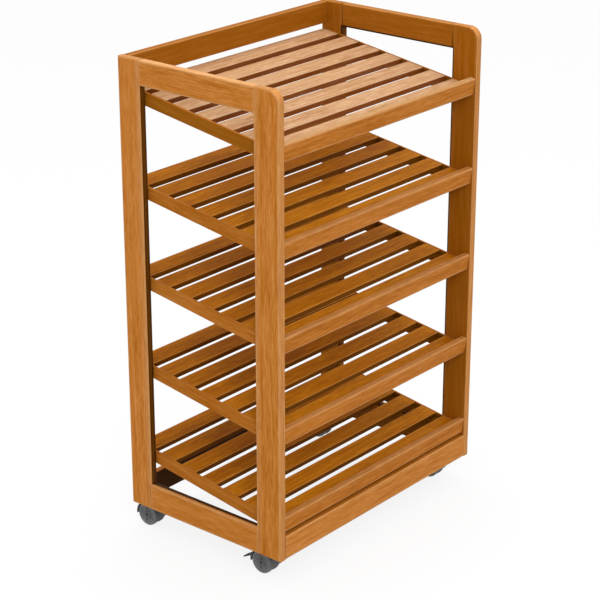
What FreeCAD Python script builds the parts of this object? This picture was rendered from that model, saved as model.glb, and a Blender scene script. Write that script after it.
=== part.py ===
import FreeCAD, Part
import Sketcher
import math
import os
import re

# Bakery bread rack: two flat wooden side frames joined by three cross rails, five slatted
# shelves that slope down to the front behind a raised lip, and four hooded twin-wheel casters.
#
# Axes: X across the rack (left is -X), Y from the front (-Y) to the back, Z up.
# Origin: on the floor, below the middle of the rack. Millimetres and degrees.

SHELVES = 5
SLATS = 7
SIDES = {"left": -1, "right": 1}
ENDS = {"front": -1, "rear": 1}

SIZES = {
    # Side frames
    "rack_width": 664,
    "rack_depth": 424,
    "frame_height": 1000,
    "board_thickness": 18,
    "front_stile_width": 64,
    "rear_stile_width": 59,
    "top_rail_height": 53,
    "bottom_rail_height": 60,
    "edge_radius": 3,
    "corner_radius": 26,
    # Cross rails
    "back_rail_thickness": 16,
    "back_top_rail_height": 50,
    "back_bottom_rail_height": 54,
    "front_rail_thickness": 18,
    "front_rail_height": 54,
    # Shelves, measured in the sloping plane of the slat tops
    "lowest_shelf_height": 78,
    "top_shelf_drop": 126,
    "shelf_angle": 8.7,
    "shelf_rear_setback": 9.8,
    "lip_setback": 4,
    "lip_thickness": 14,
    "lip_height": 38,
    "lip_rise": 17,
    "slat_width": 41,
    "slat_thickness": 12,
    "slat_radius": 1,
    "slat_end_gap": 0.4,
    "bearer_height": 28,
    "bearer_top_width": 5,
    "bearer_ledge_width": 13,
    # Dowels, pins and screws
    "dowel_diameter": 8,
    "dowel_length": 40,
    "dowel_spacing": 26,
    "dowel_depth_in_stile": 12,
    "lip_dowel_diameter": 6,
    "lip_dowel_length": 26,
    "lip_dowel_depth_in_lip": 10,
    "slat_pin_diameter": 2,
    "slat_pin_length": 24,
    "screw_diameter": 4,
    "screw_head_diameter": 8,
    "screw_head_height": 2.4,
    "bearer_screw_length": 30,
    "block_screw_length": 54,
    "block_screw_inset": 12,
    "block_screw_rise": 20,
    # Corner blocks that carry the casters
    "block_width": 44,
    "block_length": 56,
    "block_height": 27,
    # Casters
    "caster_height": 61,
    "caster_side_inset": 40,
    "caster_end_inset": 46,
    "caster_trail": 28,
    "wheel_diameter": 52,
    "wheel_width": 13,
    "wheel_edge_radius": 3.5,
    "wheel_side_clearance": 0.5,
    "wheel_rim_wall": 4.5,
    "wheel_recess_depth": 2,
    "wheel_hub_diameter": 17,
    "axle_diameter": 6,
    "running_clearance": 0.05,
    "web_thickness": 5,
    "web_diameter": 34,
    "hood_clearance": 1.2,
    "hood_wall": 2.2,
    "hood_skirt": 4,
    "hood_overhang": 0.6,
    "boss_diameter": 25,
    "boss_depth": 15,
    "kingpin_diameter": 8,
    "kingpin_head_diameter": 13,
    "kingpin_head_height": 3,
    "plate_size": 42,
    "plate_thickness": 2.5,
    "plate_corner_radius": 4,
    "race_diameter": 27,
    "race_height": 2,
    "swivel_gap": 0.3,
    "plate_screw_spacing": 31,
    "plate_screw_diameter": 3.5,
    "plate_screw_length": 16,
    "plate_screw_head_diameter": 7,
    "plate_screw_head_height": 1.8,
    # Brake pedals of the front casters
    "pedal_width": 14,
    "pedal_reach": 23.5,
    "pedal_drop": 14,
    "pedal_thickness": 3,
    "pedal_barrel_diameter": 7,
    "pedal_pivot_back": 33.5,
    "pedal_pivot_rise": 4,
    "pedal_pin_diameter": 3.4,
    "pedal_side_clearance": 0.4,
    "pedal_heel_clearance": 1,
    "pedal_heel_height": 4,
    "lug_width": 3,
    "lug_diameter": 8,
}

# Lengths that follow from the sizes above
DERIVED = {
    "frame_bottom": "caster_height",
    "frame_top": "caster_height + frame_height",
    "half_width": "rack_width / 2",
    "half_inside": "rack_width / 2 - board_thickness",
    "front_face": "-rack_depth / 2",
    "rear_face": "rack_depth / 2",
    "front_opening": "-rack_depth / 2 + front_stile_width",
    "rear_opening": "rack_depth / 2 - rear_stile_width",
    "side_rail_length": "rack_depth - front_stile_width - rear_stile_width",
    "shelf_pitch": f"(frame_height - top_shelf_drop - lowest_shelf_height) / {SHELVES - 1}",
    "slat_start": "lip_setback + lip_thickness",
    "bearer_length": "(rack_depth - shelf_rear_setback) / cos(shelf_angle) - slat_start",
    "slat_pitch": f"(bearer_length - slat_width) / {SLATS - 1}",
    "bearer_width": "bearer_top_width + bearer_ledge_width",
    "slat_length": "2 * (half_inside - bearer_top_width - slat_end_gap)",
    "ledge_middle": "half_inside - bearer_top_width - bearer_ledge_width / 2",
    "wheel_radius": "wheel_diameter / 2",
    "wheel_inner": "web_thickness / 2 + wheel_side_clearance",
    "wheel_outer": "wheel_inner + wheel_width",
    "well_radius": "wheel_diameter / 2 + hood_clearance",
    "hood_radius": "well_radius + hood_wall",
    "hood_width": "2 * (wheel_outer + hood_overhang)",
    "plate_bottom": "caster_height - plate_thickness",
    "race_bottom": "plate_bottom - race_height",
    "boss_top": "race_bottom - swivel_gap",
    "boss_bottom": "boss_top - boss_depth",
    "pivot_y": "caster_trail + pedal_pivot_back",
    "pivot_z": "wheel_radius + pedal_pivot_rise",
}

doc = FreeCAD.newDocument("BreadRack")


def make_sheet():
    """Write the driving sizes into a spreadsheet, one alias to a row."""
    sheet = doc.addObject("Spreadsheet::Sheet", "Sizes")
    for row, (alias, value) in enumerate(SIZES.items(), start=1):
        sheet.set(f"A{row}", alias)
        sheet.set(f"B{row}", str(value))
        sheet.setAlias(f"B{row}", alias)
    doc.recompute()
    return sheet


make_sheet()


def formula(text):
    """Turn words for sizes into an expression on the spreadsheet."""
    text = str(text)
    while True:
        spread = re.sub(r"(?<![\w.])[a-z]\w+(?!\w*\()", expand_word, text)
        if spread == text:
            return text
        text = spread


def expand_word(match):
    """One word of a formula, as its size on the spreadsheet or its own formula."""
    word = match.group(0)
    if word in DERIVED:
        return f"({DERIVED[word]})"
    if word in SIZES:
        return f"Sizes.{word}"
    return word


def bind(thing, **sizes):
    """Bind properties of an object to formulas; returns the object."""
    for name, text in sizes.items():
        thing.setExpression(name, formula(text))
    return thing


def place(thing, x=0, y=0, z=0, axis=(0, 0, 1), turn=0):
    """Bind the placement: a position by formulas, and a turn in degrees about an axis.

    A turn by formula starts at one degree, because a turn of nothing would lose its axis.
    """
    start_angle = 1 if isinstance(turn, str) else turn
    thing.Placement = FreeCAD.Placement(
        FreeCAD.Vector(0, 0, 0), FreeCAD.Rotation(FreeCAD.Vector(*axis), start_angle)
    )
    for letter, text in zip("xyz", (x, y, z)):
        if text != 0:
            thing.setExpression(f"Placement.Base.{letter}", formula(text))
    if isinstance(turn, str):
        thing.setExpression("Placement.Rotation.Angle", formula(turn))
    return thing


def box(name, x, y, z, length, width, height):
    """A block from its lowest corner and its three sides."""
    block = doc.addObject("Part::Box", name)
    return place(bind(block, Length=length, Width=width, Height=height), x, y, z)


def rod(name, radius, length, x=0, y=0, z=0, axis=(0, 0, 1), turn=0):
    """A cylinder that starts at a point and runs along Z, turned about an axis."""
    cylinder = doc.addObject("Part::Cylinder", name)
    return place(bind(cylinder, Radius=radius, Height=length), x, y, z, axis, turn)


def cross_rod(name, radius, length, y, z, x=0):
    """A cylinder along X, centred on a point."""
    return rod(name, radius, length, f"{x} - ({length}) / 2", y, z, (0, 1, 0), 90)


def group(name, things):
    """One node of several separate solids."""
    compound = doc.addObject("Part::Compound", name)
    compound.Links = things
    return compound


def placed_copy(name, master, **position):
    """A copy of a master piece at a place of its own."""
    return place(group(name, [master]), **position)


def cut(name, base, tool):
    """One shape less another."""
    result = doc.addObject("Part::Cut", name)
    result.Base = base
    result.Tool = tool
    return result


def fuse(name, things):
    """Several shapes as one."""
    result = doc.addObject("Part::MultiFuse", name)
    result.Shapes = things
    return result


def overlap(name, base, tool):
    """What two shapes have in common."""
    result = doc.addObject("Part::Common", name)
    result.Base = base
    result.Tool = tool
    return result


def origin_plane(body, role):
    """One of the body's own three planes."""
    return next(item for item in body.Origin.OriginFeatures if item.Role == role)


def polygon_sketch(body, name, plane, outlines):
    """A sketch of closed outlines; each corner is a pair of formulas for its position."""
    sketch = body.newObject("Sketcher::SketchObject", name)
    sketch.AttachmentSupport = (origin_plane(body, plane), [""])
    sketch.MapMode = "FlatFace"
    for outline in outlines:
        add_outline(sketch, outline)
    return sketch


def add_outline(sketch, corners):
    """Closed run of straight lines whose corners are held by their distances to the axes."""
    start = [FreeCAD.Vector(number(u), number(v), 0) for u, v in corners]
    first = sketch.GeometryCount
    for index, point in enumerate(start):
        line = Part.LineSegment(point, start[(index + 1) % len(start)])
        sketch.addGeometry(line, False)
    for index in range(len(start)):
        following = first + (index + 1) % len(start)
        joint = Sketcher.Constraint("Coincident", first + index, 2, following, 1)
        sketch.addConstraint(joint)
    for index, (u, v) in enumerate(corners):
        for kind, text in (("DistanceX", u), ("DistanceY", v)):
            hold = Sketcher.Constraint(kind, -1, 1, first + index, 1, number(text))
            row = sketch.addConstraint(hold)
            sketch.setExpression(f"Constraints[{row}]", formula(text))


def number(text):
    """The present value of a formula, for the first drawing of a sketch."""
    plain = re.sub(r"Sizes\.(\w+)", lambda match: str(SIZES[match.group(1)]), formula(text))
    plain = re.sub(r"cos\(([\d.]+)\)", lambda match: str(cosine(match.group(1))), plain)
    return float(FreeCAD.Units.Quantity(plain).Value)


def cosine(degrees):
    """Cosine of an angle in degrees."""
    return math.cos(math.radians(float(degrees)))


def rectangle(u, v, width, height):
    """Corners of a rectangle from its lowest corner, as formulas."""
    left, right = f"{u}", f"{u} + {width}"
    low, high = f"{v}", f"{v} + {height}"
    return [(left, low), (right, low), (right, high), (left, high)]


def padded_body(name, plane, outlines, length, midplane=False, backwards=False):
    """A body from closed outlines pushed to a length."""
    body = doc.addObject("PartDesign::Body", name)
    sketch = polygon_sketch(body, f"{name}_outline", plane, outlines)
    pad = body.newObject("PartDesign::Pad", f"{name}_pad")
    pad.Profile = sketch
    pad.Midplane = midplane
    pad.Reversed = backwards
    bind(pad, Length=length)
    body.Tip = pad
    doc.recompute()
    return body


def round_edges(body, chosen, radius):
    """Round the edges of the body's tip that a test picks."""
    tip = body.Tip
    names = [f"Edge{count}" for count, edge in
             enumerate(tip.Shape.Edges, start=1) if chosen(edge)]
    fillet = body.newObject("PartDesign::Fillet", f"{tip.Name}_round")
    fillet.Base = (tip, names)
    bind(fillet, Radius=radius)
    body.Tip = fillet
    doc.recompute()
    return body


def runs_along(axis):
    """A test for straight edges along one axis."""
    def chosen(edge):
        if edge.Curve.TypeId != "Part::GeomLine":
            return False
        return abs(abs(edge.Curve.Direction.dot(FreeCAD.Vector(*axis))) - 1) < 1e-6
    return chosen


def edge_of_tread(edge):
    """A test for the two outermost round edges of a wheel that turns about X."""
    curve = edge.Curve
    return curve.TypeId == "Part::GeomCircle" and abs(
        curve.Radius - SIZES["wheel_diameter"] / 2) < 1e-6


def lies_in_side_face(edge):
    """A test for edges in one of the two flat faces of a board that stands across X."""
    return edge.BoundBox.XLength < 1e-6


# Side frames ----------------------------------------------------------------------------

def frame_blank():
    """The glued-up side frame before it is divided: a ring whose edges are all rounded.

    The top front corner has the large radius, and its front face is at Y = 0.
    """
    outer = rectangle("0", "0", "rack_depth", "frame_height")
    inner = rectangle(
        "front_stile_width", "bottom_rail_height", "side_rail_length",
        "frame_height - bottom_rail_height - top_rail_height",
    )
    body = padded_body("frame_blank", "YZ_Plane", [outer, inner], "board_thickness")
    top = SIZES["frame_height"]

    def top_front_corner(edge):
        middle = edge.CenterOfMass
        return runs_along((1, 0, 0))(edge) and abs(middle.y) < 1e-6 and abs(middle.z - top) < 1e-6

    round_edges(body, top_front_corner, "corner_radius")
    return round_edges(body, lies_in_side_face, "edge_radius")


def side_frame_boards(blank, side, sign, borings):
    """Front and rear stiles, full height, and the two rails between them."""
    inner_face = "-half_width" if sign < 0 else "half_inside"
    ring = placed_copy(f"{side}_ring", blank, x=inner_face, y="front_face", z="frame_bottom")
    rails_from = "frame_top - top_rail_height"
    regions = {
        "front_stile": ("front_face", "frame_bottom", "front_stile_width", "frame_height"),
        "rear_stile": ("rear_opening", "frame_bottom", "rear_stile_width", "frame_height"),
        "top_rail": ("front_opening", rails_from, "side_rail_length", "top_rail_height"),
        "bottom_rail": ("front_opening", "frame_bottom", "side_rail_length", "bottom_rail_height"),
    }
    boards = []
    for part, (y, z, width, height) in regions.items():
        name = f"{side}_{part}"
        region = box(f"{name}_region", inner_face, y, z, "board_thickness", width, height)
        board = overlap(f"{name}_board", ring, region)
        boards.append(cut(name, board, borings))
    return boards


# Cross rails ----------------------------------------------------------------------------

def cross_rail(name, y, z, thickness, height, borings):
    """A board between the side frames, with its long edges rounded."""
    body = padded_body(
        f"{name}_board", "YZ_Plane", [rectangle(y, z, thickness, height)],
        "2 * half_inside", midplane=True,
    )
    round_edges(body, runs_along((1, 0, 0)), "edge_radius")
    return cut(name, body, borings)


def cross_rails(borings):
    back = "rear_face - back_rail_thickness"
    return [
        cross_rail("back_top_rail", back, "frame_top - back_top_rail_height",
                   "back_rail_thickness", "back_top_rail_height", borings),
        cross_rail("back_bottom_rail", back, "frame_bottom",
                   "back_rail_thickness", "back_bottom_rail_height", borings),
        cross_rail("front_bottom_rail", "front_face", "frame_bottom",
                   "front_rail_thickness", "front_rail_height", borings),
    ]


def rail_dowels():
    """Two dowels in each joint: side rails into stiles along Y, cross rails into stiles along X."""
    dowel = rod("dowel", "dowel_diameter / 2", "dowel_length")
    spread = {"low": "- dowel_spacing / 2", "high": "+ dowel_spacing / 2"}
    side_rails = {
        "top": "frame_top - top_rail_height / 2",
        "bottom": "frame_bottom + bottom_rail_height / 2",
    }
    cross = {
        "back_top": ("rear_face - back_rail_thickness / 2", "frame_top - back_top_rail_height / 2"),
        "back_bottom": ("rear_face - back_rail_thickness / 2",
                        "frame_bottom + back_bottom_rail_height / 2"),
        "front_bottom": ("front_face + front_rail_thickness / 2",
                         "frame_bottom + front_rail_height / 2"),
    }
    dowels = []
    for side, sign in SIDES.items():
        x = f"{sign} * (half_width - board_thickness / 2)"
        for rail, middle in side_rails.items():
            for end, joint in (("front", "front_opening"), ("rear", "rear_opening")):
                for level, shift in spread.items():
                    dowels.append(placed_copy(
                        f"dowel_{side}_{rail}_{end}_{level}", dowel, x=x,
                        y=f"{joint} + dowel_length / 2", z=f"{middle} {shift}",
                        axis=(1, 0, 0), turn=90,
                    ))
        for rail, (y, middle) in cross.items():
            for level, shift in spread.items():
                dowels.append(placed_copy(
                    f"dowel_{side}_{rail}_{level}", dowel,
                    x=f"{sign} * (half_inside + dowel_depth_in_stile)", y=y,
                    z=f"{middle} {shift}", axis=(0, 1, 0), turn=-90 * sign,
                ))
    return group("rail_dowels", dowels)


# Shelves --------------------------------------------------------------------------------
# Each shelf is modelled about the line where the plane of its slat tops meets the front
# plane of the rack: Y runs up the slope and Z stands square to the slats.

def shelf_place(shelf):
    """Placement of one shelf, counted from the top."""
    steps = SHELVES - shelf
    return {
        "y": "front_face",
        "z": f"frame_bottom + lowest_shelf_height + {steps} * shelf_pitch",
        "axis": (1, 0, 0),
        "turn": "shelf_angle",
    }


def slat_master(pins):
    """Seven separate slats with eased edges, bored for their pins."""
    outlines = [
        rectangle(f"slat_start + {step} * slat_pitch", "-slat_thickness",
                  "slat_width", "slat_thickness")
        for step in range(SLATS)
    ]
    body = padded_body("slat_boards", "YZ_Plane", outlines, "slat_length", midplane=True)
    round_edges(body, runs_along((1, 0, 0)), "slat_radius")
    return cut("slat_master", body, pins)


def bearer_master(side, sign, borings):
    """A rebated bearer: a narrow top band level with the slats, and a ledge below them."""
    outer, band, ledge = (
        f"{sign} * half_inside",
        f"{sign} * (half_inside - bearer_top_width)",
        f"{sign} * (half_inside - bearer_width)",
    )
    section = [
        (outer, "0"), (band, "0"), (band, "-slat_thickness"),
        (ledge, "-slat_thickness"), (ledge, "-bearer_height"), (outer, "-bearer_height"),
    ]
    body = padded_body(f"{side}_bearer_board", "XZ_Plane", [section], "bearer_length",
                       backwards=True)
    bored = placed_copy(f"{side}_bearer_set", body, y="slat_start")
    return cut(f"{side}_bearer_master", bored, borings)


def lip_master(dowels):
    """The raised board across the low end of a shelf."""
    outline = rectangle("lip_setback", "lip_rise - lip_height", "lip_thickness", "lip_height")
    body = padded_body("lip_board", "YZ_Plane", [outline], "2 * half_inside", midplane=True)
    round_edges(body, runs_along((1, 0, 0)), "edge_radius")
    return cut("lip_master", body, dowels)


def pin_set():
    """Headless pins driven up through the ledges, one into each end of each slat."""
    pins = []
    for side, sign in SIDES.items():
        for step in range(SLATS):
            pins.append(rod(
                f"pin_{side}_{step + 1}", "slat_pin_diameter / 2", "slat_pin_length",
                x=f"{sign} * ledge_middle",
                y=f"slat_start + {step} * slat_pitch + slat_width / 2", z="-bearer_height",
            ))
    return pins


def lip_dowel_set():
    """Blind dowels from the back of the lip into the ends of the bearers."""
    return [
        rod(f"lip_dowel_{side}", "lip_dowel_diameter / 2", "lip_dowel_length",
            x=f"{sign} * (half_inside - bearer_width / 2)",
            y="slat_start - lip_dowel_depth_in_lip",
            z="-(slat_thickness + bearer_height) / 2", axis=(1, 0, 0), turn=-90)
        for side, sign in SIDES.items()
    ]


def wood_screw(name, length):
    """A countersunk screw along +Z, with its head's flat face at the origin."""
    head = doc.addObject("Part::Cone", f"{name}_head")
    bind(head, Radius1="screw_head_diameter / 2", Radius2="screw_diameter / 2",
         Height="screw_head_height")
    return fuse(name, [head, rod(f"{name}_shank", "screw_diameter / 2", length)])


def bearer_screw_set():
    """Screws from inside the rack through each bearer, one into each stile, beside the pins."""
    screw = wood_screw("bearer_screw", "bearer_screw_length")
    places = {
        "front": "slat_start + 3 * slat_width / 4",
        "rear": "slat_start + bearer_length - 3 * slat_width / 4",
    }
    return [
        placed_copy(
            f"bearer_screw_{side}_{end}", screw, x=f"{sign} * (half_inside - bearer_width)",
            y=along, z="-(slat_thickness + bearer_height) / 2", axis=(0, 1, 0), turn=90 * sign,
        )
        for side, sign in SIDES.items() for end, along in places.items()
    ]


def at_every_shelf(name, things):
    """The same small parts on every shelf, as one node."""
    return group(name, [
        place(group(f"{name}_{shelf}", things), **shelf_place(shelf))
        for shelf in range(1, SHELVES + 1)
    ])


# Caster blocks --------------------------------------------------------------------------

def corner(sign, end):
    """Position of a caster's swivel axis, as formulas."""
    along = "front_face + caster_end_inset" if ENDS[end] < 0 else "rear_face - caster_end_inset"
    return f"{sign} * (half_width - caster_side_inset)", along


def block_faces(end):
    """Y of a block's outer face, which lies against the cross rail, and of its lowest Y."""
    if ENDS[end] < 0:
        outer = "front_face + front_rail_thickness"
        return outer, outer
    outer = "rear_face - back_rail_thickness"
    return outer, f"{outer} - block_length"


def block_screws():
    """A long screw through each block into the side frame."""
    screw = wood_screw("block_screw", "block_screw_length")
    return group("block_screws", [
        placed_copy(
            f"block_screw_{end}_{side}", screw, x=f"{sign} * (half_inside - block_width)",
            y=f"{block_faces(end)[0]} - {ENDS[end]} * block_screw_inset",
            z="frame_bottom + block_screw_rise", axis=(0, 1, 0), turn=90 * sign,
        )
        for side, sign in SIDES.items() for end in ENDS
    ])


def caster_blocks(borings):
    """Blocks in the four bottom corners, level with the bottom of the frame."""
    blocks = []
    for side, sign in SIDES.items():
        low_x = "-half_inside" if sign < 0 else "half_inside - block_width"
        for end in ENDS:
            blocks.append(box(f"block_{end}_{side}", low_x, block_faces(end)[1], "frame_bottom",
                              "block_width", "block_length", "block_height"))
    return cut("caster_blocks", group("caster_block_set", blocks), borings)


# Casters --------------------------------------------------------------------------------
# Each caster is modelled about its swivel axis, with the floor at Z = 0, and trails
# towards +Y: the axle lies along X behind the axis.

def plate_master(screws, pin):
    """Top plate with a round race below it."""
    half = "plate_size / 2"
    plate = padded_body("plate_board", "XY_Plane", [rectangle(f"-{half}", f"-{half}",
                        "plate_size", "plate_size")], "plate_thickness")
    round_edges(plate, runs_along((0, 0, 1)), "plate_corner_radius")
    raised = placed_copy("plate_raised", plate, z="plate_bottom")
    race = rod("race", "race_diameter / 2", "race_height", z="race_bottom")
    whole = fuse("plate_with_race", [raised, race])
    return cut("plate_master", cut("plate_bored", whole, group("plate_screw_bores", screws)), pin)


def plate_screws():
    """Four pan-head screws from below, through the plate into the block."""
    half = "plate_screw_spacing / 2"
    head = rod("plate_screw_head", "plate_screw_head_diameter / 2", "plate_screw_head_height",
               z="plate_bottom - plate_screw_head_height")
    shank = rod("plate_screw_shank", "plate_screw_diameter / 2", "plate_screw_length",
                z="plate_bottom")
    screw = fuse("plate_screw", [head, shank])
    return [
        placed_copy(f"plate_screw_{column}{row}", screw,
                    x=f"{across} * {half}", y=f"{along} * {half}")
        for column, across in (("a", -1), ("b", 1)) for row, along in ((1, -1), (2, 1))
    ]


def kingpin_master():
    """The rivet that holds the housing up: a shank from the plate and a head in the boss."""
    low = "boss_bottom + kingpin_head_height"
    shank = rod("kingpin_shank", "kingpin_diameter / 2", f"caster_height - ({low})", z=low)
    head = rod("kingpin_head", "kingpin_head_diameter / 2", "kingpin_head_height",
               z="boss_bottom")
    return fuse("kingpin_master", [shank, head])


def pedal_lugs():
    """Two lugs at the back of the hood that carry the brake pedal."""
    shift = "(pedal_width / 2 + pedal_side_clearance + lug_width / 2)"
    lugs = []
    for side, sign in SIDES.items():
        x = f"{sign} * {shift}"
        lugs.append(cross_rod(f"lug_{side}", "lug_diameter / 2", "lug_width",
                              "pivot_y", "pivot_z", x))
        lugs.append(box(f"lug_arm_{side}", f"{x} - lug_width / 2",
                        "caster_trail + well_radius", "pivot_z - lug_diameter / 2", "lug_width",
                        "pedal_pivot_back - well_radius", "lug_diameter"))
    return lugs


def housing_master(name, braked):
    """Hood, web and boss in one moulding, bored for the kingpin and the axle."""
    axle_y, axle_z = "caster_trail", "wheel_radius"
    drum = cross_rod(f"{name}_drum", "hood_radius", "hood_width", axle_y, axle_z)
    boss = rod(f"{name}_boss", "boss_diameter / 2", "boss_depth", z="boss_bottom")
    solid = fuse(f"{name}_solid", [drum, boss] + (pedal_lugs() if braked else []))
    wells = [
        cross_rod(f"{name}_well_{side}", "well_radius", "hood_width",
                  axle_y, axle_z, f"{sign} * (web_thickness / 2 + hood_width / 2)")
        for side, sign in SIDES.items()
    ]
    below = box(f"{name}_below", "-hood_width", "-hood_radius", "-hood_radius",
                "2 * hood_width", "2 * (caster_trail + hood_radius)",
                "hood_radius + wheel_radius - hood_skirt")
    cutters = wells + [below]
    if braked:
        cutters.append(box(
            f"{name}_window", "-(pedal_width / 2 + pedal_side_clearance)",
            "caster_trail + web_diameter / 2", "0",
            "pedal_width + 2 * pedal_side_clearance", "hood_radius",
            "pivot_z + lug_diameter / 2 + pedal_side_clearance",
        ))
    hood = cut(f"{name}_hood", solid, group(f"{name}_cutters", cutters))
    web = cross_rod(f"{name}_web", "web_diameter / 2", "web_thickness", axle_y, axle_z)
    body = fuse(f"{name}_body", [hood, web])
    bores = [
        rod(f"{name}_pin_bore", "kingpin_diameter / 2 + running_clearance",
            "boss_depth", z="boss_bottom"),
        rod(f"{name}_head_bore", "kingpin_head_diameter / 2 + swivel_gap",
            "kingpin_head_height + swivel_gap", z="boss_bottom"),
        cross_rod(f"{name}_axle_bore", "axle_diameter / 2", "2 * web_thickness",
                  axle_y, axle_z),
    ]
    if braked:
        bores.append(cross_rod(f"{name}_pedal_bore", "pedal_pin_diameter / 2 + running_clearance",
                               "hood_width", "pivot_y", "pivot_z"))
    return cut(name, body, group(f"{name}_bores", bores))


def axle_master():
    length = "2 * (wheel_outer - wheel_recess_depth)"
    return cross_rod("axle_master", "axle_diameter / 2", length, "caster_trail", "wheel_radius")


def wheel_master(side, sign):
    """A wheel turned from one section: tread, dished face and hub, open inside its rim."""
    body = doc.addObject("PartDesign::Body", f"{side}_wheel_master")
    inner, outer = f"{sign} * wheel_inner", f"{sign} * wheel_outer"
    dished = f"{sign} * (wheel_outer - wheel_recess_depth)"
    bore, hub = "axle_diameter / 2 + running_clearance", "wheel_hub_diameter / 2"
    rim = "wheel_radius - wheel_rim_wall"
    section = [
        (inner, bore), (inner, "wheel_radius"), (outer, "wheel_radius"), (outer, rim),
        (dished, rim), (dished, hub), (outer, hub), (outer, bore),
    ]
    sketch = polygon_sketch(body, f"{side}_wheel_section", "XZ_Plane", [section])
    turned = body.newObject("PartDesign::Revolution", f"{side}_wheel_turned")
    turned.Profile = sketch
    turned.ReferenceAxis = (sketch, ["H_Axis"])
    turned.Angle = 360
    body.Tip = turned
    doc.recompute()
    round_edges(body, edge_of_tread, "wheel_edge_radius")
    return placed_copy(f"{side}_wheel_at_axle", body, y="caster_trail", z="wheel_radius")


def pedal_master():
    """Brake pedal: a barrel on a pin, a paddle that slopes down to the back, and a heel."""
    reach, drop, thick = "pedal_reach", "pedal_drop", "pedal_thickness"
    barrel = "pedal_barrel_diameter / 2"
    heel_y = "caster_trail + wheel_radius + pedal_heel_clearance"
    paddle = [
        ("pivot_y", f"pivot_z + {barrel}"),
        ("pivot_y", f"pivot_z + {barrel} - 2 * {thick}"),
        (f"pivot_y + {reach}", f"pivot_z - {drop} - {thick} / 2"),
        (f"pivot_y + {reach}", f"pivot_z - {drop} + {thick} / 2"),
    ]
    heel = [
        (heel_y, f"pivot_z - {barrel}"), ("pivot_y", f"pivot_z - {barrel}"),
        ("pivot_y", f"pivot_z - {barrel} + pedal_heel_height"),
        (heel_y, f"pivot_z - {barrel} + pedal_heel_height"),
    ]
    blade = padded_body("pedal_paddle", "YZ_Plane", [paddle], "pedal_width", midplane=True)
    foot = padded_body("pedal_heel", "YZ_Plane", [heel], "pedal_width", midplane=True)
    hinge = cross_rod("pedal_barrel", barrel, "pedal_width", "pivot_y", "pivot_z")
    pin = cross_rod("pedal_pin", "pedal_pin_diameter / 2",
                    "pedal_width + 2 * (pedal_side_clearance + lug_width)", "pivot_y", "pivot_z")
    return fuse("pedal_master", [blade, foot, hinge, pin])


def at_every_corner(name, things):
    """The same parts at all four corners, as one node."""
    return group(name, [
        place(group(f"{name}_{end}_{side}", things), *corner(sign, end))
        for side, sign in SIDES.items() for end in ENDS
    ])


# Assembly -------------------------------------------------------------------------------

def build_shelves(bearer_screws, slat_pins, lip_dowels):
    """Bearers, slats and lip of each shelf, counted from the top."""
    masters = {
        "slats": slat_master(group("pin_borings", slat_pins)),
        "lip": lip_master(group("lip_dowel_borings", lip_dowels)),
    }
    bearer_borings = group("bearer_borings", slat_pins + lip_dowels + bearer_screws)
    for side, sign in SIDES.items():
        masters[f"{side}_bearer"] = bearer_master(side, sign, bearer_borings)
    return [
        placed_copy(f"shelf_{shelf}_{part}", master, **shelf_place(shelf))
        for shelf in range(1, SHELVES + 1) for part, master in masters.items()
    ]


def build_casters(screws):
    """Plates, kingpins, housings, axles, wheels and brake pedals of the four casters."""
    kingpin = kingpin_master()
    housings = {"front": housing_master("braked_housing", True),
                "rear": housing_master("plain_housing", False)}
    axle = axle_master()
    wheels = {side: wheel_master(side, sign) for side, sign in SIDES.items()}
    pedal = pedal_master()
    nodes = [
        at_every_corner("caster_plates", [plate_master(screws, kingpin)]),
        at_every_corner("caster_kingpins", [kingpin]),
    ]
    for side, sign in SIDES.items():
        for end in ENDS:
            x, y = corner(sign, end)
            parts = {"housing": housings[end], "axle": axle}
            for wheel_side, wheel in wheels.items():
                parts[f"{wheel_side}_wheel"] = wheel
            if end == "front":
                parts["brake_pedal"] = pedal
            for part, master in parts.items():
                nodes.append(placed_copy(f"{end}_{side}_caster_{part}", master, x=x, y=y))
    return nodes


def build():
    """Every sub-part of the rack, as a list of document objects."""
    dowels = rail_dowels()
    bearer_screws = bearer_screw_set()
    slat_pins = pin_set()
    lip_dowels = lip_dowel_set()
    screws_in_bearers = at_every_shelf("bearer_screws", bearer_screws)
    screws_in_blocks = block_screws()
    screws_in_plates = plate_screws()
    caster_screws = at_every_corner("caster_screws", screws_in_plates)
    frame_borings = group("frame_borings", [dowels, screws_in_bearers, screws_in_blocks])
    block_borings = group("block_borings", [screws_in_blocks, caster_screws])

    blank = frame_blank()
    nodes = []
    for side, sign in SIDES.items():
        nodes += side_frame_boards(blank, side, sign, frame_borings)
    nodes += cross_rails(dowels)
    nodes += [dowels, screws_in_bearers, screws_in_blocks, caster_screws]
    nodes.append(caster_blocks(block_borings))
    nodes += build_shelves(bearer_screws, slat_pins, lip_dowels)
    nodes.append(at_every_shelf("slat_pins", slat_pins))
    nodes.append(at_every_shelf("lip_dowels", lip_dowels))
    nodes += build_casters(screws_in_plates)
    return nodes


def check(nodes):
    """Stop if any object failed, or a node has no valid solid."""
    for thing in doc.Objects:
        if {"Invalid", "Error"} & set(thing.State):
            raise RuntimeError(f"{thing.Name} failed: {thing.State}")
    for node in nodes:
        if node.Shape.isNull() or not node.Shape.isValid() or not node.Shape.Solids:
            raise RuntimeError(f"{node.Label} has no valid shape")


def export(nodes):
    os.makedirs("parts", exist_ok=True)
    for node in nodes:
        node.Shape.exportStep(f"parts/{node.Label}.step")
        print(f"{node.Label}: {len(node.Shape.Solids)} solids, {node.Shape.Volume:.0f} mm3")


rack_nodes = build()
doc.recompute()
check(rack_nodes)
export(rack_nodes)
whole = FreeCAD.BoundBox()
for rack_node in rack_nodes:
    whole.add(rack_node.Shape.BoundBox)
print(f"{len(rack_nodes)} nodes, box {whole.XLength:.1f} x {whole.YLength:.1f} x {whole.ZLength:.1f}")
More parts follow.
